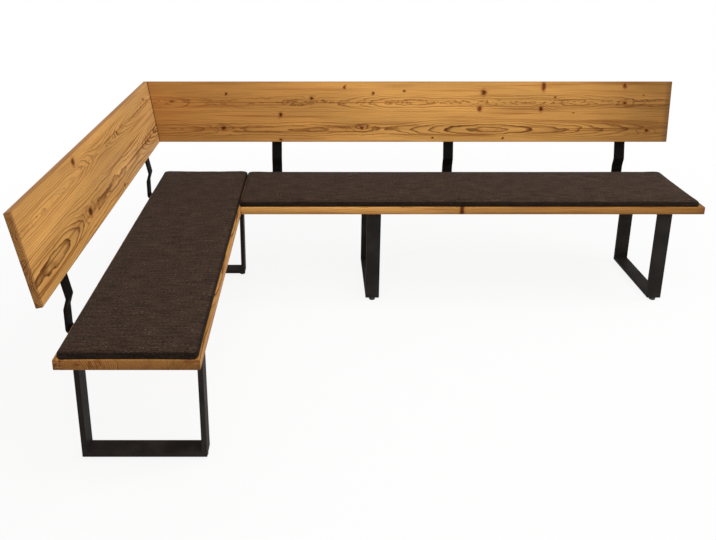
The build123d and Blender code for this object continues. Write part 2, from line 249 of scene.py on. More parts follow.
# Levelling feet: black plastic pads, moulded with a fine spark grain, on threaded steel studs
# that screw up into the runners. The studs are bright zinc plated.
FEET = [f"{leg}_{end}_foot" for leg in LEGS for end in ("rear", "front")]
PLASTIC_DARK = (0.012, 0.012, 0.012, 1)
PLASTIC_SCUFFED = (0.03, 0.029, 0.028, 1)
PLASTIC_ROUGHNESS = (0.5, 0.66)
SPARK_GRAIN = (1800.0, 2.0)
SPARK_DEPTH = 0.00004
SCUFF_SPOTS = (160.0, 4.0)
SCUFF_EDGES = (0.55, 0.75)
ZINC_DARK = (0.42, 0.42, 0.43, 1)
ZINC_LIGHT = (0.62, 0.62, 0.62, 1)
THREAD_PITCH = 0.00125
THREAD_DEPTH = 0.0005
ZINC_ROUGHNESS = (0.28, 0.46)
SPANGLE = (240.0, 3.0)
SPANGLE_DEPTH = 0.00005


def foot_plastic():
    """Black moulded plastic with a fine grain and a few scuffs."""
    material, tree, shader, place = new_finish("foot_plastic")
    spark = noise(tree, place, *SPARK_GRAIN)
    scuff = spread(tree, noise(tree, place, *SCUFF_SPOTS), *SCUFF_EDGES)
    colour = tint(tree, scuff, PLASTIC_DARK, PLASTIC_SCUFFED)
    roughness = spread(tree, spark, *NOISE_SPAN, *PLASTIC_ROUGHNESS)
    set_surface(tree, shader, colour, roughness, spark, SPARK_DEPTH)
    return material


def zinc(name, thread_pitch=None):
    """Zinc plated steel, with the ridges of a thread along Z where a pitch is given."""
    material, tree, shader, place = new_finish(name)
    shader.inputs["Metallic"].default_value = 1.0
    spangle = noise(tree, place, *SPANGLE)
    colour = tint(tree, spangle, ZINC_DARK, ZINC_LIGHT)
    roughness = spread(tree, spangle, *NOISE_SPAN, *ZINC_ROUGHNESS)
    if thread_pitch is None:
        set_surface(tree, shader, colour, roughness, spangle, SPANGLE_DEPTH)
        return material
    height = node(tree, "ShaderNodeSeparateXYZ", {0: place}).outputs["Z"]
    ridge = reckon(tree, "PINGPONG", reckon(tree, "DIVIDE", height, thread_pitch), 0.5)
    set_surface(tree, shader, colour, roughness, ridge, THREAD_DEPTH)
    return material


dress([f"{foot}_pad" for foot in FEET], foot_plastic())
dress([f"{foot}_stud" for foot in FEET], zinc("stud_zinc", THREAD_PITCH))


# Seats: two solid softwood boards, 32 mm thick, glued up from three staves each and butted
# at the corner. The faces are brushed and oiled, and the edges are eased.
SEAT_LOW, SEAT_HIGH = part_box("side_seat")
CORNER = Vector((SEAT_LOW.x, SEAT_HIGH.y, 0))
SEAT_UNDERSIDE = SEAT_LOW.z
SEAT_TOP = SEAT_HIGH.z
SEAT_WIDTH = SEAT_HIGH.x - SEAT_LOW.x
SIDE_LENGTH = SEAT_HIGH.y - SEAT_LOW.y
LONG_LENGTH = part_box("long_seat")[1].x - SEAT_LOW.x
TO_RIGHT = Vector((1, 0, 0))
TO_FRONT = Vector((0, -1, 0))
UP = Vector((0, 0, 1))
EARLY_WOOD = (0.72, 0.358, 0.094, 1)
PALE_WOOD = (0.86, 0.51, 0.215, 1)
LATE_WOOD = (0.13, 0.037, 0.0065, 1)
RUDDY_WOOD = (0.38, 0.14, 0.031, 1)
SPINE_WOOD = (0.24, 0.07, 0.011, 1)
KNOT_DARK = (0.05, 0.012, 0.002, 1)
KNOT_RED = (0.17, 0.043, 0.009, 1)
KNOT_RIM = (0.3, 0.095, 0.018, 1)
GLUE_AND_SHADE_BROWN = (0.13, 0.055, 0.02, 1)
END_GRAIN = (0.5, 0.45, 0.47, 1)
EDGE_SHADE_BROWN = (0.62, 0.52, 0.45, 1)
WOOD_GLOSS = 0.06
WOOD_ROUGHNESS = (0.42, 0.6)
FACING_END = (0.55, 0.9)
FACING_SIDE = (0.5, 0.8)
RING_WARP = 0.0105
RING_RIPPLE = 0.003
HEART_SWING = 0.12
HEART_SWING_NOISE = (1.1, 1.5)
HEART_SPACING = 31.0
SPINE_WIDTH = 0.034
SPINE_EDGES = (0.5, 0.62)
STREAK_EDGES = (0.5, 0.72)
FIGURE_WIDTH = (0.012, 0.055)
PACE_RATE = 60.0
PACE_SWING = 0.006
YEAR_STRENGTH = (0.5, 1.35)
RUFFLE = 0.011
RUFFLE_WIDTH = 0.018
FIBRE_SPAN = (0.25, 0.75)
FIBRE_LIGHT = (0.86, 1.1)
FIBRE_GLOSS_SPAN = (0.2, 0.8)
FIBRE_RELIEF = 0.4
CLOUD_LIGHT = (0.84, 1.1)
FLECK_EDGES = (0.66, 0.74)
FLECK_SHARE = 0.35
KNOT_HEART_EDGES = (0.65, 1.15)
KNOT_HEART_SHARE = 0.92
KNOT_RIM_EDGES = (0.95, 2.1)
KNOT_RIM_SHARE = 0.6
KNOT_MOTTLE = (0.42, 0.6)
KNOT_LIFT = 1.1
KNOT_FLOW = 2.6
KNOT_FLOW_STRETCH = 0.36
KNOT_SHAKE = 0.016
GLUE_LINE = 0.0014
GLUE_SHADE = 0.5
JOINT_LINE = 0.0045
JOINT_SHADE = 0.85
ARRIS_WIDTH = 0.005
ARRIS_SHADE = 0.55
PAINTED_LIGHT_DEPTH = SEAT_TOP - SEAT_UNDERSIDE
GRAIN_DEPTH = 0.00025
# One year's growth: pale early wood, a dark late band, then a sharp change
RING_PROFILE = ((0.0, 0.0), (0.56, 0.06), (0.82, 0.75), (0.93, 1.0), (1.0, 0.0))
# How fast each figure of the grain changes along and across the board, per metre, and its detail
GRAIN = {
    "wobble": (6.5, 24.0, 3.0),
    "ripple": (22.0, 60.0, 2.0),
    "ruffle": (38.0, 110.0, 1.0),
    "fibre": (7.0, 420.0, 3.0),
    "cloud": (1.7, 9.0, 3.0),
    "fleck": (60.0, 900.0, 1.0),
    "streak": (1.6, 48.0, 2.0),
    "spine": (1.3, 120.0, 3.0),
}
# Staves: the start across the board, the heart line, the heart's depth, the contrast and the tone
# Rake and end shade width: how far the free end slants over the width, and how wide its painted shade is
# Edge painted light: painted light and shade, how light the edges and ends are at the underside and top
# Rings: the width of one year's growth
# Calm: how much of the figure is left far from a heart line. Ruffle: the line of the ruffled grain
# Tones and light: the place as a share of the length, and how ruddy, how dark and how pale the wood is there
# The dark is partly painted shade at the long boards' right ends,
# and the pale at the side backrest's rear is painted light
# Knots: the place along and across the board, the radius along it, and the height for that length
SIDE_SEAT = {
    "axes": (TO_FRONT, TO_RIGHT, UP),
    "length": SIDE_LENGTH,
    "width": SEAT_WIDTH,
    "rake": 0.0,
    "end_shade_width": 0.004,
    "edge_painted_light": (0.8, 1.16),
    "rings": 0.0056,
    "calm": 0.6,
    "ruffle": 0.25,
    "staves": (
        (0.0, 0.015, 0.012, 1.0, 1.08),
        (0.177, 0.13, 0.1, 0.45, 0.98),
        (0.31, 0.41, 0.05, 0.75, 0.95),
    ),
    "tones_and_light": ((0.0, 0.1, 0.0, 0.0), (1.0, 0.15, 0.05, 0.0)),
    "knots": ((0.31, 0.09, 0.011, 1.0), (0.74, 0.33, 0.009, 1.0), (1.16, 0.21, 0.012, 0.8)),
}
LONG_SEAT = {
    "axes": (TO_RIGHT, TO_FRONT, UP),
    "length": LONG_LENGTH,
    "width": SEAT_WIDTH,
    "rake": 0.0,
    "end_shade_width": 0.04,
    "edge_painted_light": (0.7, 1.24),
    "rings": 0.0055,
    "calm": 0.6,
    "ruffle": 0.2,
    "staves": (
        (0.0, 0.06, 0.04, 0.5, 0.97),
        (0.14, 0.2, 0.05, 0.55, 0.93),
        (0.27, 0.35, 0.05, 0.75, 1.0),
    ),
    "tones_and_light": (
        (0.0, 0.0, 0.1, 0.1),
        (0.5, 0.08, 0.12, 0.08),
        (0.72, 0.3, 0.26, 0.0),
        (1.0, 0.45, 0.36, 0.0),
    ),
    "knots": ((0.72, 0.12, 0.01, 1.0), (1.31, 0.396, 0.009, 1.0), (1.86, 0.24, 0.012, 0.8)),
}


def dot(tree, vector, axis):
    """How far a vector reaches along an axis."""
    return node(tree, "ShaderNodeVectorMath", {0: vector, 1: axis}, operation="DOT_PRODUCT").outputs["Value"]


def length_of(tree, *parts):
    """The length of a vector given by its parts."""
    vector = node(tree, "ShaderNodeCombineXYZ", enumerate(parts)).outputs[0]
    return node(tree, "ShaderNodeVectorMath", {0: vector}, operation="LENGTH").outputs["Value"]


def grain_noise(tree, grain, figure):
    """Noise that is drawn out along the grain."""
    run_rate, cross_rate, detail = GRAIN[figure]
    rates = (run_rate, cross_rate, cross_rate)
    parts = [reckon(tree, "MULTIPLY", way, rate) for way, rate in zip(grain, rates)]
    return noise(tree, node(tree, "ShaderNodeCombineXYZ", enumerate(parts)).outputs[0], 1.0, detail)


def centred(tree, value):
    """A noise value moved to lie around nought."""
    return reckon(tree, "SUBTRACT", value, 0.5)


def ramp(tree, value, stops, interpolation="LINEAR"):
    """A colour ramp with a stop at each position."""
    made = node(tree, "ShaderNodeValToRGB", {"Fac": value})
    made.color_ramp.interpolation = interpolation
    marks = made.color_ramp.elements
    marks.remove(marks[1])
    for number, (position, colour) in enumerate(stops):
        mark = marks[0] if number == 0 else marks.new(position)
        mark.color = colour
    return made.outputs


def knot_spots(tree, grain, knots, shake):
    """How much the grain swells at the knots, and where their hearts and rims are."""
    run, cross = [reckon(tree, "MULTIPLY_ADD", shake, KNOT_SHAKE, way) for way in grain[:2]]
    swell, heart, rim = 0.0, 0.0, 0.0
    for along, across, radius, tall in knots:
        off_run = reckon(tree, "DIVIDE", reckon(tree, "SUBTRACT", run, along), radius)
        off_cross = reckon(tree, "DIVIDE", reckon(tree, "SUBTRACT", cross, across), radius * tall)
        reach = length_of(tree, off_run, off_cross)
        flow = length_of(tree, reckon(tree, "MULTIPLY", off_run, KNOT_FLOW_STRETCH), off_cross)
        lift = spread(tree, flow, 0.0, KNOT_FLOW, radius * KNOT_LIFT, 0.0)
        swell = reckon(tree, "MAXIMUM", swell, lift)
        heart = reckon(tree, "MAXIMUM", heart, spread(tree, reach, *KNOT_HEART_EDGES, 1.0, 0.0))
        rim = reckon(tree, "MAXIMUM", rim, spread(tree, reach, *KNOT_RIM_EDGES, 1.0, 0.0))
    return swell, heart, rim


def late_wood(tree, grain, sideways, stave, swell, shake, board):
    """The dark bands of the years about a stave's heart, which swings in and out along the board."""
    run, cross, depth = grain
    own_place = reckon(tree, "MULTIPLY", stave[0], HEART_SPACING)
    swing_place = node(tree, "ShaderNodeCombineXYZ", {0: run, 1: own_place}).outputs[0]
    swing = centred(tree, noise(tree, swing_place, *HEART_SWING_NOISE))
    inward = reckon(tree, "MULTIPLY_ADD", swing, HEART_SWING, reckon(tree, "ADD", stave[1], depth))
    wobble = centred(tree, grain_noise(tree, grain, "wobble"))
    growth = reckon(tree, "ADD", length_of(tree, sideways, inward), swell)
    growth = reckon(tree, "MULTIPLY_ADD", wobble, RING_WARP, growth)
    growth = reckon(tree, "MULTIPLY_ADD", shake, RING_RIPPLE, growth)
    ruffle = centred(tree, grain_noise(tree, grain, "ruffle"))
    off_ruffle = reckon(tree, "ABSOLUTE", reckon(tree, "SUBTRACT", cross, board["ruffle"]))
    ruffling = spread(tree, off_ruffle, 0.0, RUFFLE_WIDTH, RUFFLE, 0.0)
    growth = reckon(tree, "MULTIPLY_ADD", ruffle, ruffling, growth)
    pace_place = {"W": reckon(tree, "MULTIPLY", growth, PACE_RATE), "Scale": 1.0}
    pace = node(tree, "ShaderNodeTexNoise", pace_place, noise_dimensions="1D").outputs["Fac"]
    growth = reckon(tree, "MULTIPLY_ADD", pace, PACE_SWING, growth)
    years = reckon(tree, "DIVIDE", growth, board["rings"])
    profile = [(position, (late, late, late, 1)) for position, late in RING_PROFILE]
    band = ramp(tree, reckon(tree, "FRACT", years), profile)["Color"]
    number = {"W": reckon(tree, "FLOOR", years)}
    chance = node(tree, "ShaderNodeTexWhiteNoise", number, noise_dimensions="1D").outputs["Value"]
    return reckon(tree, "MULTIPLY", band, spread(tree, chance, 0.0, 1.0, *YEAR_STRENGTH))


def oiled_pine(name, corner, board, painted_edge_shade=0.0, joint=None):
    """Softwood with growth rings about a heart line in each stave, knots, streaks and end grain."""
    material, tree, shader, place = new_finish(name)
    shader.inputs["Specular IOR Level"].default_value = WOOD_GLOSS
    local = node(tree, "ShaderNodeVectorMath", {0: place, 1: corner}, operation="SUBTRACT").outputs[0]
    along, across, _ = board["axes"]
    grain = [dot(tree, local, axis) for axis in board["axes"]]
    run, cross, depth = grain
    normal = node(tree, "ShaderNodeTexCoord").outputs["Normal"]
    on_end = spread(tree, reckon(tree, "ABSOLUTE", dot(tree, normal, along)), *FACING_END)
    on_side = spread(tree, reckon(tree, "ABSOLUTE", dot(tree, normal, across)), *FACING_SIDE)
    on_shaded_edge = reckon(tree, "MULTIPLY", on_side, painted_edge_shade)

    width = board["width"]
    staves = [(start / width, (line / width, *others)) for start, line, *others in board["staves"]]
    chosen = ramp(tree, reckon(tree, "DIVIDE", cross, width), staves, "CONSTANT")
    stave = node(tree, "ShaderNodeSeparateColor", {0: chosen["Color"]}).outputs
    # Painted light and shade along the board, mixed with the wood's own tone
    tones_and_light = [(share, (*tone, 1)) for share, *tone in board["tones_and_light"]]
    toned = ramp(tree, reckon(tree, "DIVIDE", run, board["length"]), tones_and_light)["Color"]
    ruddy, dark, pale = node(tree, "ShaderNodeSeparateColor", {0: toned}).outputs

    shake = centred(tree, grain_noise(tree, grain, "ripple"))
    swell, heart, rim = knot_spots(tree, grain, board["knots"], shake)
    sideways = reckon(tree, "SUBTRACT", cross, reckon(tree, "MULTIPLY", stave[0], width))
    late = late_wood(tree, grain, sideways, stave, swell, shake, board)
    off_heart = reckon(tree, "ABSOLUTE", sideways)
    calmed = spread(tree, off_heart, *FIGURE_WIDTH, 1.0, board["calm"])
    figure = reckon(tree, "MAXIMUM", on_end, calmed)
    bands = reckon(tree, "MULTIPLY", late, reckon(tree, "MULTIPLY", stave[2], figure))
    streak = spread(tree, grain_noise(tree, grain, "streak"), *STREAK_EDGES, 0.0, stave[2])
    by_spine = spread(tree, off_heart, 0.0, SPINE_WIDTH, stave[2], 0.0)
    broken = spread(tree, grain_noise(tree, grain, "spine"), *SPINE_EDGES)
    spine = reckon(tree, "MULTIPLY", by_spine, broken)
    colour = tint(tree, pale, EARLY_WOOD, PALE_WOOD)
    colour = tint(tree, streak, colour, RUDDY_WOOD)
    colour = tint(tree, spine, colour, SPINE_WOOD)
    colour = tint(tree, bands, colour, LATE_WOOD)
    colour = tint(tree, ruddy, colour, RUDDY_WOOD)

    fibre = grain_noise(tree, grain, "fibre")
    cloud = grain_noise(tree, grain, "cloud")
    light = spread(tree, fibre, *FIBRE_SPAN, *FIBRE_LIGHT)
    light = reckon(tree, "MULTIPLY", light, chosen["Alpha"])
    light = reckon(tree, "MULTIPLY", light, spread(tree, cloud, *NOISE_SPAN, *CLOUD_LIGHT))
    light = reckon(tree, "MULTIPLY", light, reckon(tree, "SUBTRACT", 1.0, dark))
    colour = tint(tree, 1.0, colour, light, "MULTIPLY")
    fleck = spread(tree, grain_noise(tree, grain, "fleck"), *FLECK_EDGES, 0.0, FLECK_SHARE)
    colour = tint(tree, fleck, colour, GLUE_AND_SHADE_BROWN)
    knot = tint(tree, spread(tree, cloud, *KNOT_MOTTLE), KNOT_DARK, KNOT_RED)
    colour = tint(tree, reckon(tree, "MULTIPLY", rim, KNOT_RIM_SHARE), colour, KNOT_RIM)
    colour = tint(tree, reckon(tree, "MULTIPLY", heart, KNOT_HEART_SHARE), colour, knot)
    for start, *_ in board["staves"][1:]:
        off_line = reckon(tree, "ABSOLUTE", reckon(tree, "SUBTRACT", cross, start))
        colour = tint(tree, spread(tree, off_line, 0.0, GLUE_LINE, GLUE_SHADE, 0.0), colour, GLUE_AND_SHADE_BROWN)
    colour = tint(tree, on_end, colour, END_GRAIN, "MULTIPLY")
    # Painted shade: the top and bottom faces of the backrests are darkened
    colour = tint(tree, on_shaded_edge, colour, EDGE_SHADE_BROWN, "MULTIPLY")
    # Painted light and shade: edges and ends lighter towards the top, darker towards the underside
    edge_lit_and_shaded = spread(tree, depth, 0.0, PAINTED_LIGHT_DEPTH, *board["edge_painted_light"])
    colour = tint(tree, reckon(tree, "MAXIMUM", on_end, on_side), colour, edge_lit_and_shaded, "MULTIPLY")
    if joint is not None:
        off_joint = reckon(tree, "ABSOLUTE", dot(tree, local, joint))
        at_joint = spread(tree, off_joint, 0.0, JOINT_LINE, JOINT_SHADE, 0.0)
        colour = tint(tree, at_joint, colour, GLUE_AND_SHADE_BROWN)
    # Painted shade: the faces darken towards the board's ends and edges, at the arrises
    end = reckon(tree, "MULTIPLY_ADD", cross, board["rake"] / width, board["length"])
    from_end = reckon(tree, "SUBTRACT", end, run)
    from_edge = reckon(tree, "MINIMUM", cross, reckon(tree, "SUBTRACT", width, cross))
    arrises = ((from_end, board["end_shade_width"], on_end), (from_edge, ARRIS_WIDTH, on_side))
    for off, reach, turned in arrises:
        arris_painted_shade = reckon(tree, "SUBTRACT", spread(tree, off, 0.0, reach, ARRIS_SHADE, 0.0), turned)
        colour = tint(tree, reckon(tree, "MAXIMUM", arris_painted_shade, 0.0), colour, GLUE_AND_SHADE_BROWN)
    height = reckon(tree, "MULTIPLY_ADD", fibre, FIBRE_RELIEF, bands)
    roughness = spread(tree, fibre, *FIBRE_GLOSS_SPAN, *WOOD_ROUGHNESS)
    set_surface(tree, shader, colour, roughness, height, GRAIN_DEPTH)
    return material


seat_corner = CORNER + UP * SEAT_UNDERSIDE
dress(["side_seat"], oiled_pine("side_seat_pine", seat_corner, SIDE_SEAT))
dress(["long_seat"], oiled_pine("long_seat_pine", seat_corner, LONG_SEAT))


# Fasteners: button head bolts hold the leg frames in threaded inserts, and pan head screws hold
# the brackets and the joint plates to the boards. All have a hexagon socket.
SOCKET_SHARE = 0.36
SOCKET_DEPTH_SHARE = 0.55
HEAD_SIDES = 24
# A head's outline from its top down, as shares of its radius and of its height
HEAD_OUTLINE = ((0.62, 1.0), (0.86, 0.82), (1.0, 0.45), (1.0, 0.0))
TIP_START = 0.92
TIP_SHARE = 0.6
# Each group: its head's radius and height, its shank's radius, and the slot of its finish
FASTENERS = {
    "leg_bolts": (0.007, 0.0044, 0.004, "black_screws"),
    "plate_screws": (0.005, 0.003, 0.0025, "zinc_steel"),
    "bracket_seat_screws": (0.005, 0.003, 0.0025, "black_screws"),
    "bracket_back_screws": (0.005, 0.003, 0.0025, "black_screws"),
}
BLACKED_DARK = (0.014, 0.0135, 0.013, 1)
BLACKED_LIGHT = (0.03, 0.029, 0.028, 1)
BLACKED_METAL = 0.6
BLACKED_PATCH = (300.0, 3.0)
BLACKED_ROUGHNESS = (0.36, 0.52)
BACKREST_LEAN = radians(11.3)
SIDE_AIM = Vector((cos(BACKREST_LEAN), 0, sin(BACKREST_LEAN)))
LONG_AIM = Vector((0, -cos(BACKREST_LEAN), sin(BACKREST_LEAN)))
MERGE = 0.00002


def blacked_steel():
    """Steel with a thin black oxide skin."""
    material, tree, shader, place = new_finish("black_screws")
    shader.inputs["Metallic"].default_value = BLACKED_METAL
    patch = noise(tree, place, *BLACKED_PATCH)
    colour = tint(tree, patch, BLACKED_DARK, BLACKED_LIGHT)
    roughness = spread(tree, patch, *NOISE_SPAN, *BLACKED_ROUGHNESS)
    set_surface(tree, shader, colour, roughness, patch, SPANGLE_DEPTH)
    return material


def loose_solids(name):
    """The corner points of each separate solid in a CAD node."""
    form = bmesh.new()
    form.from_mesh(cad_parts[name].data)
    bmesh.ops.remove_doubles(form, verts=form.verts, dist=MERGE)
    waiting = set(form.verts)
    solids = []
    while waiting:
        front = [waiting.pop()]
        points = []
        while front:
            vertex = front.pop()
            points.append(vertex.co.copy())
            near = {edge.other_vert(vertex) for edge in vertex.link_edges} & waiting
            waiting -= near
            front.extend(near)
        solids.append(points)
    form.free()
    return sorted(solids, key=lambda points: min(points, key=tuple)[:])


def lathe(name, rings):
    """A closed turned form from rings of a radius, a height and a round or hexagon outline."""
    form = bmesh.new()
    loops = []
    for radius, height, is_hexagon in rings:
        loop = []
        for step in range(HEAD_SIDES):
            angle = tau * step / HEAD_SIDES
            from_flat = (angle % (pi / 3)) - pi / 6
            reach = radius / cos(from_flat) if is_hexagon else radius
            loop.append(form.verts.new((reach * cos(angle), reach * sin(angle), height)))
        loops.append(loop)
    for upper, lower in zip(loops, loops[1:]):
        for step in range(HEAD_SIDES):
            after = (step + 1) % HEAD_SIDES
            form.faces.new((upper[step], upper[after], lower[after], lower[step]))
    form.faces.new(loops[0])
    form.faces.new(reversed(loops[-1]))
    bmesh.ops.recalc_face_normals(form, faces=form.faces)
    mesh = bpy.data.meshes.new(name)
    form.to_mesh(mesh)
    form.free()
    return mesh


def fastener_form(name, head, height, shank, length):
    """A fastener along +Z with its head's seat at zero."""
    socket = head * SOCKET_SHARE
    rings = [(socket, height * (SOCKET_DEPTH_SHARE - 1), True), (socket, -height, True)]
    rings += [(head * wide, height * -tall, False) for wide, tall in HEAD_OUTLINE]
    rings += [(shank, 0.0, False), (shank, length * TIP_START, False), (shank * TIP_SHARE, length, False)]
    return lathe(name, rings)


def fastener_tree(form, material):
    """One form at each point, turned to the point's aim."""
    tree, given = nodes_tree("set_fasteners", ())
    source = node(tree, "GeometryNodeObjectInfo", {"Object": form}).outputs["Geometry"]
    aim = node(tree, "GeometryNodeInputNamedAttribute", {"Name": "aim"}, data_type="FLOAT_VECTOR")
    aimed = {"Vector": aim.outputs[0]}
    turn = node(tree, "FunctionNodeAlignRotationToVector", aimed, axis="Z").outputs[0]
    placed = {"Points": given["Geometry"], "Instance": source, "Rotation": turn}
    end_tree(tree, node(tree, "GeometryNodeInstanceOnPoints", placed).outputs[0], material)
    return tree


def aim_of(name, points):
    """The way that a fastener points into its board."""
    if name != "bracket_back_screws":
        return UP
    return SIDE_AIM if min(point.x for point in points) < CORNER.x else LONG_AIM


def set_fasteners(name, material):
    """Puts a detailed fastener in the place of each solid of a CAD node."""
    head, height, shank, slot = FASTENERS[name]
    seats = []
    aims = []
    for points in loose_solids(name):
        aim = aim_of(name, points)
        reaches = [point.dot(aim) for point in points]
        middle = sum(points, Vector()) / len(points)
        outer, tip = min(reaches), max(reaches)
        seats.append(middle + aim * (outer + height - middle.dot(aim)))
        aims.append(aim)
    spots = bpy.data.meshes.new(f"{name}_spots")
    spots.from_pydata(seats, [], [])
    aim_field = spots.attributes.new("aim", "FLOAT_VECTOR", "POINT")
    aim_field.data.foreach_set("vector", [part for aim in aims for part in aim])
    length = tip - outer - height
    form = bpy.data.objects.new(f"{name}_form", fastener_form(name, head, height, shank, length))
    piece = grown(f"{name}_set", spots, fastener_tree(form, material), {})
    bpy.data.objects.remove(form)
    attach(piece, "bench")
    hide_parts(name)


bright_zinc = zinc("bright_zinc")
finishes = {"zinc_steel": bright_zinc, "black_screws": blacked_steel()}
for group, (*_, finish_slot) in FASTENERS.items():
    set_fasteners(group, finishes[finish_slot])
dress(["leg_inserts"], bright_zinc)


# Joint plates and back brackets: flat steel. The plates are zinc plated and lie under the seam
# of the seats. The brackets are cranked bars with the legs' black coat, darkened as painted shade.
BRACKETS = (
    "side_front_bracket",
    "side_corner_bracket",
    "long_left_bracket",
    "long_middle_bracket",
    "long_right_bracket",
)
BRACKET_PAINTED_SHADE = 0.3
dress(["rear_joint_plate", "front_joint_plate"], bright_zinc)
dress(BRACKETS, powder_coat("bracket_powder_coat", BRACKET_PAINTED_SHADE))


# Backrests: two leaning softwood boards, 20 mm thick, each glued up from two staves and mitred
# at the corner. The lower staves show the widest cathedral grain.
BACKREST_HEIGHT = 0.275
BACKREST_RISE = 0.158
BACKREST_SETBACK = 0.006
BACKREST_PAINTED_EDGE_SHADE = 0.9
BACKREST_END_RAKE = 0.015
MITRE_NORMAL = Vector((1, 1, 0)).normalized()
LONG_BACK = {
    "axes": (
        TO_RIGHT,
        Vector((0, sin(BACKREST_LEAN), cos(BACKREST_LEAN))),
        Vector((0, cos(BACKREST_LEAN), -sin(BACKREST_LEAN))),
    ),
    "length": LONG_LENGTH,
    "width": BACKREST_HEIGHT,
    "rake": BACKREST_END_RAKE,
    "end_shade_width": 0.03,
    "edge_painted_light": (1.0, 1.0),
    "rings": 0.0052,
    "calm": 0.26,
    "ruffle": 0.18,
    "staves": ((0.0, 0.058, 0.045, 0.86, 0.98), (0.14, 0.18, 0.05, 0.7, 1.0)),
    "tones_and_light": (
        (0.0, 0.52, 0.1, 0.0),
        (0.25, 0.3, 0.04, 0.0),
        (0.45, 0.0, 0.0, 0.0),
        (0.68, 0.04, 0.02, 0.0),
        (0.84, 0.12, 0.18, 0.0),
        (0.93, 0.2, 0.4, 0.0),
        (1.0, 0.25, 0.46, 0.0),
    ),
    "knots": (
        (0.059, 0.186, 0.01, 0.5),
        (0.306, 0.22, 0.005, 1.1),
        (0.694, 0.199, 0.0075, 0.9),
        (0.552, 0.124, 0.008, 1.3),
        (0.844, 0.248, 0.006, 1.2),
        (0.972, 0.22, 0.0065, 0.9),
        (1.114, 0.231, 0.005, 1.0),
        (1.107, 0.18, 0.003, 1.0),
        (0.292, 0.063, 0.011, 0.8),
        (0.923, 0.066, 0.0085, 0.9),
        (0.556, 0.012, 0.008, 0.6),
        (1.243, 0.017, 0.0045, 0.7),
        (1.475, 0.225, 0.011, 1.1),
        (1.459, 0.152, 0.01, 1.05),
        (1.747, 0.252, 0.0085, 2.2),
        (1.738, 0.152, 0.008, 1.5),
        (1.8, 0.201, 0.004, 0.9),
        (1.886, 0.134, 0.0045, 0.8),
        (2.117, 0.255, 0.0085, 1.4),
        (2.119, 0.178, 0.009, 0.8),
        (2.203, 0.213, 0.003, 1.8),
        (2.22, 0.052, 0.009, 0.9),
        (1.566, 0.016, 0.004, 0.9),
    ),
}
SIDE_BACK = {
    "axes": (
        TO_FRONT,
        Vector((-sin(BACKREST_LEAN), 0, cos(BACKREST_LEAN))),
        Vector((-cos(BACKREST_LEAN), 0, -sin(BACKREST_LEAN))),
    ),
    "length": SIDE_LENGTH,
    "width": BACKREST_HEIGHT,
    "rake": 0.0,
    "end_shade_width": 0.002,
    "edge_painted_light": (1.0, 1.0),
    "rings": 0.0062,
    "calm": 0.6,
    "ruffle": 0.205,
    "staves": ((0.0, 0.066, 0.06, 0.95, 1.0), (0.14, 0.206, 0.03, 0.55, 1.0)),
    "tones_and_light": (
        (0.0, 0.0, 0.0, 0.55),
        (0.3, 0.0, 0.02, 0.3),
        (0.6, 0.03, 0.07, 0.12),
        (1.0, 0.03, 0.05, 0.12),
    ),
    "knots": (
        (1.028, 0.25, 0.012, 1.0),
        (1.009, 0.071, 0.014, 0.9),
        (0.542, 0.202, 0.006, 1.0),
        (0.62, 0.018, 0.008, 0.8),
        (0.081, 0.223, 0.006, 1.0),
    ),
}
back_corner = CORNER + Vector((-BACKREST_SETBACK, BACKREST_SETBACK, SEAT_TOP + BACKREST_RISE))
for back_name, back in (("long_backrest", LONG_BACK), ("side_backrest", SIDE_BACK)):
    pine = oiled_pine(f"{back_name}_pine", back_corner, back, BACKREST_PAINTED_EDGE_SHADE, MITRE_NORMAL)
    dress([back_name], pine)


# Seat pads: thin foam in a cover of dark brown heather weave. The cover's top wraps over the
# rounded edges and is sewn to the underside in a narrow welt just above the board.
WEAVE_PITCH = 0.0016
WEAVE_DEPTH = 0.0004
WEAVE_SHEEN = 0.02
WEAVE_SHEEN_ROUGHNESS = 0.4
WEAVE_GLOSS = 0.08
WEAVE_ROUGHNESS = (0.86, 0.97)
WEAVE_LIGHT = (0.8, 1.15)
# How fast each figure changes along the weft and the warp, per metre, and its detail
SLUB = (16.0, 120.0, 3.0)
MOTTLE = (130.0, 300.0, 3.0)
CLOUD = (13.0, 21.0, 3.0)
SLUB_SPAN = (0.32, 0.68)
SLUB_LIGHT = (0.66, 1.3)
FADED_LIGHT = (0.86, 1.1)
MOTTLE_SPAN = (0.2, 0.8)
MOTTLE_RELIEF = 0.6
SIDE_SLOPE = (0.6, 0.97)
SIDE_PAINTED_SHADE = 0.34
YARN_DARK = (0.0178, 0.01, 0.0059, 1)
YARN_MIDDLE = (0.0602, 0.0345, 0.0215, 1)
YARN_PALE = (0.15, 0.0955, 0.065, 1)
YARN_MIDDLE_EDGES = (0.34, 0.52)
YARN_PALE_EDGES = (0.52, 0.76)
PAD_SHRINK = 0.0025
PAD_FOOT = 0.006
PAD_VOXEL = 0.006
PAD_CLOTH = {
    "quality": 4,
    "mass": 0.3,
    "tension_stiffness": 20,
    "compression_stiffness": 8,
    "bending_stiffness": 0.6,
    "use_pressure": True,
    "uniform_pressure_force": 4.0,
}
PAD_FRAMES = 20
PAD_SWELL_LIMIT = 0.004
PAD_MERGE = 0.0004
WELT_LEVEL = 0.0055
WELT_RADIUS = 0.0011
WELT_SIDES = 8
STITCH_PITCH = 0.0042
STITCH_RADIUS = 0.00045
STITCH_RISE = 0.0027
STITCH_SIDES = 6
STITCH_RINGS = 4
STITCH_SCALE = (1.0, 1.0, 3.2)
OUTLINE_STEP = 0.006
PAD_CORNER = 0.014
RAY_START = 0.03
# Each pad, its body, and how far its cover bulges past its solid at the low and high sides
PADS = (
    ("side_pad", "side_cushion", (-0.001, -0.0025, 0), (0, 0.001, 0)),
    ("long_pad", "long_cushion", (0, -0.0025, 0), (0.001, 0.001, 0)),
)


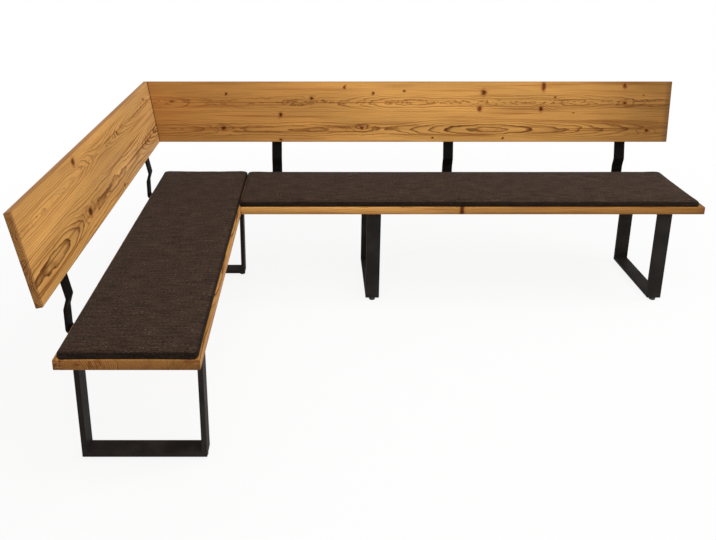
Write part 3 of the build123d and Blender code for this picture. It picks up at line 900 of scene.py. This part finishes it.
def heather_weave():
    """A plain weave of mottled brown yarns, with painted shade on the sides."""
    material, tree, shader, place = new_finish("pad_fabric")
    shader.inputs["Sheen Weight"].default_value = WEAVE_SHEEN
    shader.inputs["Sheen Roughness"].default_value = WEAVE_SHEEN_ROUGHNESS
    shader.inputs["Specular IOR Level"].default_value = WEAVE_GLOSS
    axis = node(tree, "ShaderNodeSeparateXYZ", {0: place}).outputs
    # Height is added to both, so that the weave also runs down the sides
    weft = reckon(tree, "ADD", axis["X"], axis["Z"])
    warp = reckon(tree, "ADD", axis["Y"], axis["Z"])
    turns = [reckon(tree, "MULTIPLY", way, tau / WEAVE_PITCH) for way in (weft, warp)]
    waves = [reckon(tree, "SINE", turn) for turn in turns]
    over = reckon(tree, "MULTIPLY", *waves)
    level = node(tree, "ShaderNodeCombineXYZ", {0: weft, 1: warp}).outputs[0]

    def drawn(weft_rate, warp_rate, detail):
        """Noise that is drawn out along a yarn."""
        stretch = {0: level, 1: (weft_rate, warp_rate, 0)}
        scaled = node(tree, "ShaderNodeVectorMath", stretch, operation="MULTIPLY").outputs[0]
        return noise(tree, scaled, 1.0, detail)

    slub = drawn(*SLUB)
    mottle = drawn(*MOTTLE)
    cloud = drawn(*CLOUD)
    colour = tint(tree, spread(tree, mottle, *YARN_MIDDLE_EDGES), YARN_DARK, YARN_MIDDLE)
    colour = tint(tree, spread(tree, mottle, *YARN_PALE_EDGES), colour, YARN_PALE)
    light = spread(tree, slub, *SLUB_SPAN, *SLUB_LIGHT)
    light = reckon(tree, "MULTIPLY", light, spread(tree, cloud, *NOISE_SPAN, *FADED_LIGHT))
    light = reckon(tree, "MULTIPLY", light, spread(tree, over, -1.0, 1.0, *WEAVE_LIGHT))
    # Painted shade: the sides darken as they slope away from level
    light = reckon(tree, "MULTIPLY", light, spread(tree, upward(tree), *SIDE_SLOPE, SIDE_PAINTED_SHADE, 1.0))
    colour = tint(tree, 1.0, colour, light, "MULTIPLY")
    height = reckon(tree, "MULTIPLY_ADD", mottle, MOTTLE_RELIEF, over)
    roughness = spread(tree, mottle, *MOTTLE_SPAN, *WEAVE_ROUGHNESS)
    set_surface(tree, shader, colour, roughness, height, WEAVE_DEPTH)
    return material


def pad_start(name, low, high):
    """The pad before it swells: the CAD form on a deeper foot, drawn in a little and divided evenly."""
    form = bmesh.new()
    form.from_mesh(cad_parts[name].data)
    bmesh.ops.remove_doubles(form, verts=form.verts, dist=MERGE)
    size = high - low
    middle = (low + high) / 2
    shares = [(extent - 2 * PAD_SHRINK) / extent for extent in size.xy]
    for vertex in form.verts:
        vertex.co.x = middle.x + (vertex.co.x - middle.x) * shares[0]
        vertex.co.y = middle.y + (vertex.co.y - middle.y) * shares[1]
        if vertex.co.z < low.z + MERGE:
            vertex.co.z -= PAD_FOOT
    mesh = bpy.data.meshes.new(name)
    form.to_mesh(mesh)
    form.free()
    pad = bpy.data.objects.new(f"{name}_cushion", mesh)
    bpy.context.collection.objects.link(pad)
    divider = pad.modifiers.new("divider", "REMESH")
    divider.mode = "VOXEL"
    divider.voxel_size = PAD_VOXEL
    set_plain_mesh(pad)
    return pad


def swell_up(pad):
    """Blows the cover up against its own cloth, by no more than the swell's limit."""
    rest = [vertex.co.copy() for vertex in pad.data.vertices]
    cover = pad.modifiers.new("cover", "CLOTH")
    for setting, value in PAD_CLOTH.items():
        setattr(cover.settings, setting, value)
    cover.settings.effector_weights.gravity = 0
    cover.point_cache.frame_end = PAD_FRAMES
    for step in range(1, PAD_FRAMES + 1):
        bpy.context.scene.frame_set(step)
    set_plain_mesh(pad)
    bpy.context.scene.frame_set(1)
    for vertex, start in zip(pad.data.vertices, rest):
        move = vertex.co - start
        if move.length > PAD_SWELL_LIMIT:
            move *= PAD_SWELL_LIMIT / move.length
        vertex.co = start + move


def fit_outline(pad, low, high):
    """Fills the pad out to its room in plan, divides it once more and flattens its foot."""
    for axis in (0, 1):
        places = [vertex.co[axis] for vertex in pad.data.vertices]
        first, last = min(places), max(places)
        stretch = (high[axis] - low[axis]) / (last - first)
        for vertex in pad.data.vertices:
            vertex.co[axis] = low[axis] + (vertex.co[axis] - first) * stretch
    finer = pad.modifiers.new("finer", "SUBSURF")
    finer.levels = 1
    finer.render_levels = 1
    set_plain_mesh(pad)
    form = bmesh.new()
    form.from_mesh(pad.data)
    for vertex in form.verts:
        vertex.co.z = max(vertex.co.z, low.z)
    bmesh.ops.remove_doubles(form, verts=form.verts, dist=PAD_MERGE)
    form.to_mesh(pad.data)
    form.free()


def welt_path(pad, low, high):
    """Points round the pad's side at the welt's level."""
    surface = BVHTree.FromObject(pad, bpy.context.evaluated_depsgraph_get())
    middle = (low + high) / 2
    half = (high - low).xy / 2 - Vector((PAD_CORNER, PAD_CORNER))
    turn = PAD_CORNER * pi / 2
    straights = [(half.y, 0), (half.x, 1), (half.y, 2), (half.x, 3)]
    level = low.z + WELT_LEVEL
    points = []
    for length, quarter in straights:
        heading = quarter * pi / 2
        out = Vector((cos(heading), sin(heading)))
        along = Vector((-sin(heading), cos(heading)))
        side = half.x if quarter % 2 == 0 else half.y
        run_steps = int(2 * length / OUTLINE_STEP)
        turn_steps = int(turn / OUTLINE_STEP) + 1
        places = []
        for step in range(run_steps):
            offset = -length + 2 * length * step / run_steps
            places.append((out * (side + PAD_CORNER) + along * offset, out))
        for step in range(turn_steps):
            angle = heading + pi / 2 * step / turn_steps
            way = Vector((cos(angle), sin(angle)))
            places.append((out * side + along * length + way * PAD_CORNER, way))
        for place, way in places:
            outward = Vector((way.x, way.y, 0))
            start = Vector((middle.x + place.x, middle.y + place.y, level)) + outward * RAY_START
            hit = surface.ray_cast(start, -outward, 2 * RAY_START)[0]
            if hit is not None:
                points.append(hit)
    return points


def welt_tree(material):
    """A round welt along a closed line, with a row of stitches above it."""
    tree, given = nodes_tree("sewn_welt", ("Welt Radius", "Stitch Pitch", "Stitch Radius", "Stitch Rise"))
    line = node(tree, "GeometryNodeMeshToCurve", {0: given["Geometry"]}).outputs[0]
    ring = {"Resolution": WELT_SIDES, "Radius": given["Welt Radius"]}
    profile = node(tree, "GeometryNodeCurvePrimitiveCircle", ring).outputs[0]
    welt = node(tree, "GeometryNodeCurveToMesh", {"Curve": line, "Profile Curve": profile}).outputs[0]
    spacing = {"Curve": line, "Length": given["Stitch Pitch"]}
    spots = node(tree, "GeometryNodeCurveToPoints", spacing, mode="LENGTH").outputs
    rise = node(tree, "ShaderNodeCombineXYZ", {2: given["Stitch Rise"]}).outputs[0]
    raised = node(tree, "GeometryNodeSetPosition", {"Geometry": spots["Points"], "Offset": rise}).outputs[0]
    bead = {"Segments": STITCH_SIDES, "Rings": STITCH_RINGS, "Radius": given["Stitch Radius"]}
    stitch = node(tree, "GeometryNodeMeshUVSphere", bead).outputs[0]
    aimed = {"Vector": spots["Tangent"]}
    turn = node(tree, "FunctionNodeAlignRotationToVector", aimed, axis="Z").outputs[0]
    placed = {"Points": raised, "Instance": stitch, "Rotation": turn, "Scale": STITCH_SCALE}
    stitches = node(tree, "GeometryNodeInstanceOnPoints", placed).outputs[0]
    both = node(tree, "GeometryNodeJoinGeometry")
    for geometry in (welt, stitches):
        tree.links.new(geometry, both.inputs[0])
    end_tree(tree, both.outputs[0], material)
    return tree


fabric = heather_weave()
sewn = welt_tree(fabric)
welt_sizes = {
    "Welt Radius": WELT_RADIUS,
    "Stitch Pitch": STITCH_PITCH,
    "Stitch Radius": STITCH_RADIUS,
    "Stitch Rise": STITCH_RISE,
}
for pad_name, body, room_low, room_high in PADS:
    pad_low, pad_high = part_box(pad_name)
    cushion = pad_start(pad_name, pad_low, pad_high)
    swell_up(cushion)
    pad_low += Vector(room_low)
    pad_high += Vector(room_high)
    fit_outline(cushion, pad_low, pad_high)
    cushion.data.materials.clear()
    cushion.data.materials.append(fabric)
    cushion.data.shade_smooth()
    path = welt_path(cushion, pad_low, pad_high)
    seam = bpy.data.meshes.new(f"{pad_name}_seam")
    seam.from_pydata(path, [(end, (end + 1) % len(path)) for end in range(len(path))], [])
    welt = grown(f"{pad_name}_welt", seam, sewn, welt_sizes)
    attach(cushion, body)
    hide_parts(pad_name)
    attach(welt, body)


# Floor and background: a plain pale studio floor that runs out to white and keeps soft shadows.
# The camera and reflections see floor and sky as near white, and the sky lights the bench softly.
FLOOR_REACH = 30.0
FLOOR_PALE = (0.86, 0.86, 0.86, 1)
WHITE = (1, 1, 1, 1)
FLOOR_ROUGHNESS = 0.9
FLOOR_WHITENESS = 0.89
FLOOR_FADE = (1.3, 3.2)
SKY_LIGHT = 0.45


def seen_directly(tree):
    """One for what the camera, a reflection or a clear body shows, and nought for light."""
    path = node(tree, "ShaderNodeLightPath").outputs
    shown = reckon(tree, "MAXIMUM", path["Is Camera Ray"], path["Is Glossy Ray"])
    return reckon(tree, "MAXIMUM", shown, path["Is Transmission Ray"])


corners = [(x, y, 0) for x, y in ((-1, -1), (1, -1), (1, 1), (-1, 1))]
floor_mesh = bpy.data.meshes.new("floor")
floor_mesh.from_pydata([Vector(point) * FLOOR_REACH for point in corners], [], [(0, 1, 2, 3)])
floor = bpy.data.objects.new("floor", floor_mesh)
bpy.context.collection.objects.link(floor)
floor_paint, floor_tree, floor_shader, floor_place = new_finish("floor_white")
floor_shader.inputs["Base Color"].default_value = FLOOR_PALE
floor_shader.inputs["Roughness"].default_value = FLOOR_ROUGHNESS
floor_shader.inputs["Specular IOR Level"].default_value = 0.0
glow = node(floor_tree, "ShaderNodeEmission", {"Color": WHITE, "Strength": 1.0}).outputs[0]
offset = node(floor_tree, "ShaderNodeVectorMath", {0: floor_place}, operation="LENGTH")
from_bench = offset.outputs["Value"]
whiteness = spread(floor_tree, from_bench, *FLOOR_FADE, FLOOR_WHITENESS, 1.0)
share = reckon(floor_tree, "MULTIPLY", seen_directly(floor_tree), whiteness)
pale_inputs = {0: share, 1: floor_shader.outputs[0], 2: glow}
pale = node(floor_tree, "ShaderNodeMixShader", pale_inputs).outputs[0]
floor_tree.links.new(pale, floor_tree.nodes["Material Output"].inputs["Surface"])
floor_mesh.materials.append(floor_paint)

sky = bpy.data.worlds.new("studio")
sky.use_nodes = True
sky_tree = sky.node_tree
backdrop = sky_tree.nodes["Background"]
backdrop.inputs["Color"].default_value = WHITE
brightness = spread(sky_tree, seen_directly(sky_tree), 0.0, 1.0, SKY_LIGHT, 1.0)
sky_tree.links.new(brightness, backdrop.inputs["Strength"])
bpy.context.scene.world = sky


# Studio light: a wide soft box over the front of the bench, another far in front of it, and a
# narrow one high beyond its right end, aimed at the side backrest.
SOFT_BOXES = {
    "overhead": {"place": (0.1, -1.6, 3.4), "aim": (0.1, 0.2, 0.5), "size": (3.2, 2.2), "power": 52.0},
    "front": {"place": (-0.2, -4.8, 2.2), "aim": (0.1, 0.3, 0.6), "size": (3.0, 1.6), "power": 38.0},
    "right": {"place": (2.4, 0.3, 2.9), "aim": (-1.1, 0.4, 0.7), "size": (0.9, 1.6), "power": 46.0},
}
for name, box in SOFT_BOXES.items():
    lamp_data = bpy.data.lights.new(name, "AREA")
    lamp_data.shape = "RECTANGLE"
    lamp_data.size, lamp_data.size_y = box["size"]
    lamp_data.energy = box["power"]
    lamp = bpy.data.objects.new(name, lamp_data)
    lamp.location = box["place"]
    aim = Vector(box["aim"]) - lamp.location
    lamp.rotation_euler = aim.to_track_quat("-Z", "Y").to_euler()
    lamp.visible_camera = False
    bpy.context.collection.objects.link(lamp)


# Camera: it stands high in front and looks down at the bench through a dropped lens. The photograph's
# lens is dropped further, for upright legs. Here it drops only as far as views from the sides allow.
IMAGE_WIDTH, IMAGE_HEIGHT = 716, 540
FILM_WIDTH = 36.0
FOCAL_PIXELS = 742.5
AXIS_PIXEL = (318.0, 141.0)
CAMERA_PITCH = 0.2926
CAMERA_FROM_CORNER = Vector((0.7172, -3.2424, 1.5778))
camera_data = bpy.data.cameras.new("camera")
camera_data.sensor_width = FILM_WIDTH
camera_data.lens = FOCAL_PIXELS * FILM_WIDTH / IMAGE_WIDTH
camera_data.shift_x = (IMAGE_WIDTH / 2 - AXIS_PIXEL[0]) / IMAGE_WIDTH
camera_data.shift_y = (AXIS_PIXEL[1] - IMAGE_HEIGHT / 2) / IMAGE_WIDTH
camera = bpy.data.objects.new("camera", camera_data)
camera.location = CORNER + CAMERA_FROM_CORNER
camera.rotation_euler = (pi / 2 - CAMERA_PITCH, 0, 0)
bpy.context.collection.objects.link(camera)
bpy.context.scene.camera = camera
bpy.context.scene.view_settings.view_transform = "Standard"
